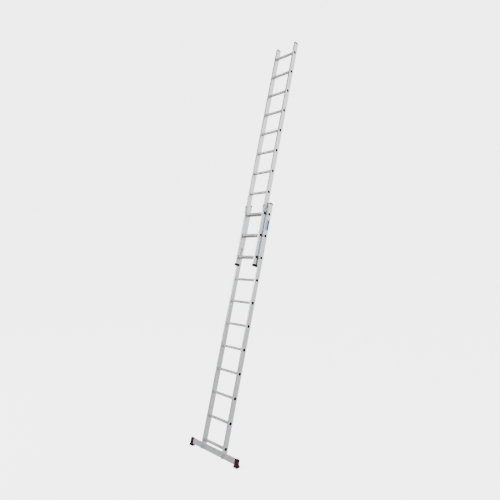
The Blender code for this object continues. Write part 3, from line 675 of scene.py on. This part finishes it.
def make_guides():
    """Pressed plates round the fronts of the fly's stringers, with rounded bends."""
    for word, side in SIDES:
        node = f"guide_bracket_{word}"
        low, high = local_box(node)
        wall = high.x if side > 0 else -low.x
        tip = low.x if side > 0 else -high.x
        front = low.y
        lip_end = front + GUIDE_LIP
        path = [(tip, lip_end), (tip, front), (wall, front), (wall, high.y)]
        outline = bent_plate(path, GUIDE_THICK)
        centre = (low.z + high.z) / 2
        mesh = extruded(node, [[(side * x, y) for x, y in outline]], high.z - low.z)
        mesh.transform(Matrix.Translation((0, 0, centre)))
        holes = []
        for number in (1, 2):
            rivet_low, rivet_high = local_box(f"guide_rivet_{word}_{number}")
            rivet = (rivet_low + rivet_high) / 2
            hole = rod("hole", RIVET_HOLE, 0.02, "x", (side * wall, rivet.y, rivet.z))
            holes.append((hole, Matrix.Identity(4)))
        mesh = combined(mesh, gathered("holes", holes), "DIFFERENCE")
        mesh = bevelled(mesh, GUIDE_EDGE, 2, 50)
        mesh.transform(BASE_SPACE)
        add_piece(node + "_pressing", mesh, "base", "galvanised_steel", [node])


# ---------------------------------------------------------------- feet

FOOT_INNER = 0.378                      # x of the shaft's inner and outer faces
FOOT_OUTER = 0.430
SOCKET_WALL = 0.0035                    # plastic round the bar
SHAFT_RISE = 0.006                      # the shaft starts this far above the foot's underside
SHAFT_ROUND = 0.0045
SOLE_TOP = 0.0205
SOLE_CORNER = 0.010
SOLE_ROUND = 0.0026
FLARE_HEIGHT = 0.034                    # from the shaft's lower end to where the flare starts
FLARE_INSET = 0.003                     # from the sole's outline
FLARE_CORNER = 0.009
FLARE_SINK = 0.004                      # reaches this far into the sole
FLARE_TOP_INSET = 0.001                 # inside the shaft's faces at its top
SOCKET_REACH = 0.3                      # x where the socket's cutter starts, and the panel's ends
PANEL_REACH = 0.5
PANEL_DEPTH = 0.0007
PANEL_SIDE = 0.0050                     # plastic left beside, below and above the end panel
PANEL_BELOW = 0.004
PANEL_ABOVE = 0.002
PANEL_ROUND = 0.003
GRIPS = 5                               # ribs on the front
GRIP_PITCH = 0.0085
GRIP_TOP = 0.010
GRIP_INSET = 0.006
GRIP_DEEP = 0.0008                      # half depth, half height and edge round
GRIP_HIGH = 0.0011
GRIP_ROUND = 0.0006


def spanned(first, second):
    """Two x values in rising order."""
    return min(first, second), max(first, second)


def foot_shaft(upper, bottom, centre_x):
    """Leaning block from the socket's top down to a level."""
    drop = [(y - (z - bottom) / math.tan(LEAN), bottom) for y, z in reversed(upper)]
    shaft = extruded("shaft", [upper + drop], FOOT_OUTER - FOOT_INNER)
    shaft.transform(Matrix.Translation((centre_x, 0, 0)) @ UPRIGHT)
    return bevelled(shaft, SHAFT_ROUND, 4)


def foot_sole(low, high):
    outline = rounded_rectangle((low.x, low.y), (high.x, high.y), SOLE_CORNER)
    sole = extruded("sole", [outline], SOLE_TOP - low.z)
    sole.transform(Matrix.Translation((0, 0, (SOLE_TOP + low.z) / 2)))
    return bevelled(sole, SOLE_ROUND, 3)


def foot_flare(low, high, upper, top, centre_x):
    """Blends the shaft into the sole."""
    base = rounded_rectangle((low.x + FLARE_INSET, low.y + FLARE_INSET),
                             (high.x - FLARE_INSET, high.y - FLARE_INSET), FLARE_CORNER)
    flare = extruded("flare", [base], top - SOLE_TOP + FLARE_SINK)
    flare.transform(Matrix.Translation((0, 0, (top + SOLE_TOP - FLARE_SINK) / 2)))
    front, back = [y - (z - top) / math.tan(LEAN) + inset
                   for (y, z), inset in zip(upper, (FLARE_TOP_INSET, -FLARE_TOP_INSET))]
    wide = FOOT_OUTER - FOOT_INNER - 2 * FLARE_TOP_INSET
    for vertex in flare.vertices:
        if vertex.co.z > (top + SOLE_TOP) / 2:
            across = (vertex.co.x - low.x) / (high.x - low.x)
            deep = (vertex.co.y - low.y) / (high.y - low.y)
            vertex.co.x = centre_x + (across - 0.5) * wide
            vertex.co.y = front + deep * (back - front)
    return flare


def foot_socket(side, bar_low, bar_high):
    """Cutter for the room that the bar's end takes."""
    start, end = spanned(side * SOCKET_REACH, side * (bar_high.x + GAP))
    socket = box("socket", (start, bar_low.y - GAP, bar_low.z - GAP),
                 (end, bar_high.y + GAP, bar_high.z + GAP))
    socket.transform(BASE_SPACE)
    return socket


def foot_panel(side, half, bar_low, bar_high):
    """Cutter for the shallow recess in the end face."""
    start, end = spanned(side * (FOOT_OUTER - PANEL_DEPTH), side * PANEL_REACH)
    panel = box("panel", (start, -half + PANEL_SIDE, bar_low.z + PANEL_BELOW),
                (end, half - PANEL_SIDE, bar_high.z - PANEL_ABOVE))
    panel = bevelled(panel, PANEL_ROUND, 3)
    panel.transform(BASE_SPACE)
    return panel


def foot_grips(side, half, bar_high):
    """Ribs across the socket's front."""
    start, end = spanned(side * (FOOT_INNER + GRIP_INSET), side * (FOOT_OUTER - GRIP_INSET))
    grips = []
    for n in range(GRIPS):
        height = bar_high.z - GRIP_TOP - n * GRIP_PITCH
        grip = box("rib", (start, -half - GRIP_DEEP, height - GRIP_HIGH),
                   (end, -half + GRIP_DEEP, height + GRIP_HIGH))
        grips.append((bevelled(grip, GRIP_ROUND, 2), BASE_SPACE))
    return gathered("ribs", grips)


def make_feet():
    """Moulded feet: a socket with a recessed end panel and grip ribs, flared into a rounded level sole."""
    bar_low, bar_high = local_box("stabiliser_bar")
    half = (bar_high.y - bar_low.y) / 2 + SOCKET_WALL
    corners = [BASE_SPACE @ Vector((0, y, bar_high.z + SOCKET_WALL)) for y in (-half, half)]
    upper = [(corner.y, corner.z) for corner in corners]
    for word, side in SIDES:
        node = f"stabiliser_foot_{word}"
        low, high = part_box(node)
        bottom = low.z + SHAFT_RISE
        centre_x = side * (FOOT_INNER + FOOT_OUTER) / 2
        mesh = combined(foot_shaft(upper, bottom, centre_x), foot_sole(low, high), "UNION")
        mesh = combined(mesh, foot_flare(low, high, upper, bottom + FLARE_HEIGHT, centre_x), "UNION")
        mesh = combined(mesh, foot_socket(side, bar_low, bar_high), "DIFFERENCE")
        mesh = combined(mesh, foot_panel(side, half, bar_low, bar_high), "DIFFERENCE")
        mesh = combined(mesh, foot_grips(side, half, bar_high), "UNION")
        add_piece(node + "_moulding", mesh, "base", "wine_plastic", [node])


# ---------------------------------------------------------------- CAD nodes that stay

SOFTENED = {                            # radius of a small round added to the edges, by the start of the name
    "bar_bolt": 0.0006, "bar_nut": 0.0006, "foot_pad": 0.0008, "latch_hook": 0.0008,
    "stabiliser_bar": 0.0009,
}


def dress_nodes():
    """Give every CAD node the material of its slot, and a small round to the sharp ones."""
    for row in RECORD["subparts"]:
        node = NODES[row["node"]]
        material = MATERIALS[row["material_slot"]]
        if row["node"] == "stabiliser_bar":
            material = BAR_ALUMINIUM
        node.data.materials.clear()
        node.data.materials.append(material)
        for start, width in SOFTENED.items():
            if row["node"].startswith(start):
                modifier = node.modifiers.new("Round", "BEVEL")
                modifier.width = width
                modifier.segments = 2
                modifier.limit_method = "ANGLE"
                modifier.angle_limit = math.radians(35)


# ---------------------------------------------------------------- camera, floor and light

CAMERA_FROM_RUNG = Vector((4.1145, -3.3637, 2.2636))   # from the middle of the lowest rung
CAMERA_TURN = math.radians(46.3)                       # round from the front towards the right side
CAMERA_LENS = 32.71
SENSOR = 36.0


def make_camera():
    data = bpy.data.cameras.new("camera")
    data.lens = CAMERA_LENS
    data.sensor_width = SENSOR
    data.clip_end = 100.0
    item = helper("camera", data)
    item.location = BASE_ORIGIN + CAMERA_FROM_RUNG
    item.rotation_euler = (math.pi / 2, 0.0, CAMERA_TURN)
    bpy.context.scene.camera = item


WHITE = 4.6                             # how bright the backdrop looks to the camera
FLOOR_GLOW = 4.0                        # added to the light that the floor gets from the studio


def make_floor():
    """Pale studio floor, with a glow for the camera alone that brings it up to the backdrop."""
    shape = bmesh.new()
    bmesh.ops.create_grid(shape, x_segments=1, y_segments=1, size=40.0)
    item = helper("floor", finished("floor", shape))
    n = Nodes("floor")
    speck = n.noise(n.ladder_space((6.0, 6.0, 6.0)), 1.0, 3.0, 0.5)
    tone = n.ramp(speck, ((0.0, (0.62, 0.62, 0.62)), (1.0, (0.66, 0.66, 0.66))))
    item.data.materials.append(n.finish(tone, n.span(speck, 0.85, 0.95), n.bump(speck, 0.0001, 0.1), 0.0))
    path = n.new("ShaderNodeLightPath")
    n.shader.inputs["Emission Color"].default_value = (1.0, 1.0, 1.0, 1.0)
    glow = n.maths("MULTIPLY", path.outputs["Is Camera Ray"], FLOOR_GLOW)
    n.link(glow, n.shader.inputs["Emission Strength"])


def add_light(name, place, size, power):
    data = bpy.data.lights.new(name, "AREA")
    data.shape = "RECTANGLE"
    data.size, data.size_y = size
    data.energy = power
    item = helper(name, data)
    item.location = place
    aim = Vector(LIGHT_TARGET) - Vector(place)
    item.rotation_euler = aim.to_track_quat("-Z", "Y").to_euler()


BRIGHT_SIDE = Vector((0.77, 0.63, 0.10))               # the studio's open side, behind on the right
STUDIO_DARK = 0.12                                     # brightness of the far and the open side
STUDIO_LIGHT = 2.30
LIGHT_TARGET = (0.0, 0.0, 2.2)
SOFTBOX = ((-4.6, -6.4, 5.0), (6.0, 2.4), 540.0)       # place, size and power
KEY = ((5.6, -5.2, 6.2), (3.0, 3.0), 150.0)


def make_world():
    """Pale backdrop for the camera. The ladder sees a soft studio, brighter on one side."""
    world = bpy.data.worlds.new("studio")
    world.use_nodes = True
    tree = world.node_tree
    background = tree.nodes["Background"]
    background.inputs["Color"].default_value = (1.0, 1.0, 1.0, 1.0)
    place = tree.nodes.new("ShaderNodeTexCoord")
    facing = tree.nodes.new("ShaderNodeVectorMath")
    facing.operation = "DOT_PRODUCT"
    facing.inputs[1].default_value = BRIGHT_SIDE.normalized()
    tree.links.new(place.outputs["Generated"], facing.inputs[0])
    soft = tree.nodes.new("ShaderNodeMapRange")
    soft.interpolation_type = "SMOOTHSTEP"
    soft.inputs["From Min"].default_value = -0.5
    soft.inputs["From Max"].default_value = 0.9
    soft.inputs["To Min"].default_value = STUDIO_DARK
    soft.inputs["To Max"].default_value = STUDIO_LIGHT
    tree.links.new(facing.outputs["Value"], soft.inputs["Value"])
    path = tree.nodes.new("ShaderNodeLightPath")
    choose = tree.nodes.new("ShaderNodeMix")
    choose.inputs["B"].default_value = WHITE
    tree.links.new(path.outputs["Is Camera Ray"], choose.inputs["Factor"])
    tree.links.new(soft.outputs["Result"], choose.inputs["A"])
    tree.links.new(choose.outputs["Result"], background.inputs["Strength"])
    bpy.context.scene.world = world


def make_lights():
    make_world()
    add_light("softbox_left", *SOFTBOX)
    add_light("key", *KEY)


make_camera()
make_floor()
make_lights()
make_rungs("base", "base", BASE_SPACE)
make_rungs("fly", "fly", FLY_SPACE)
make_stringers()
make_guides()
make_feet()
make_label()
dress_nodes()
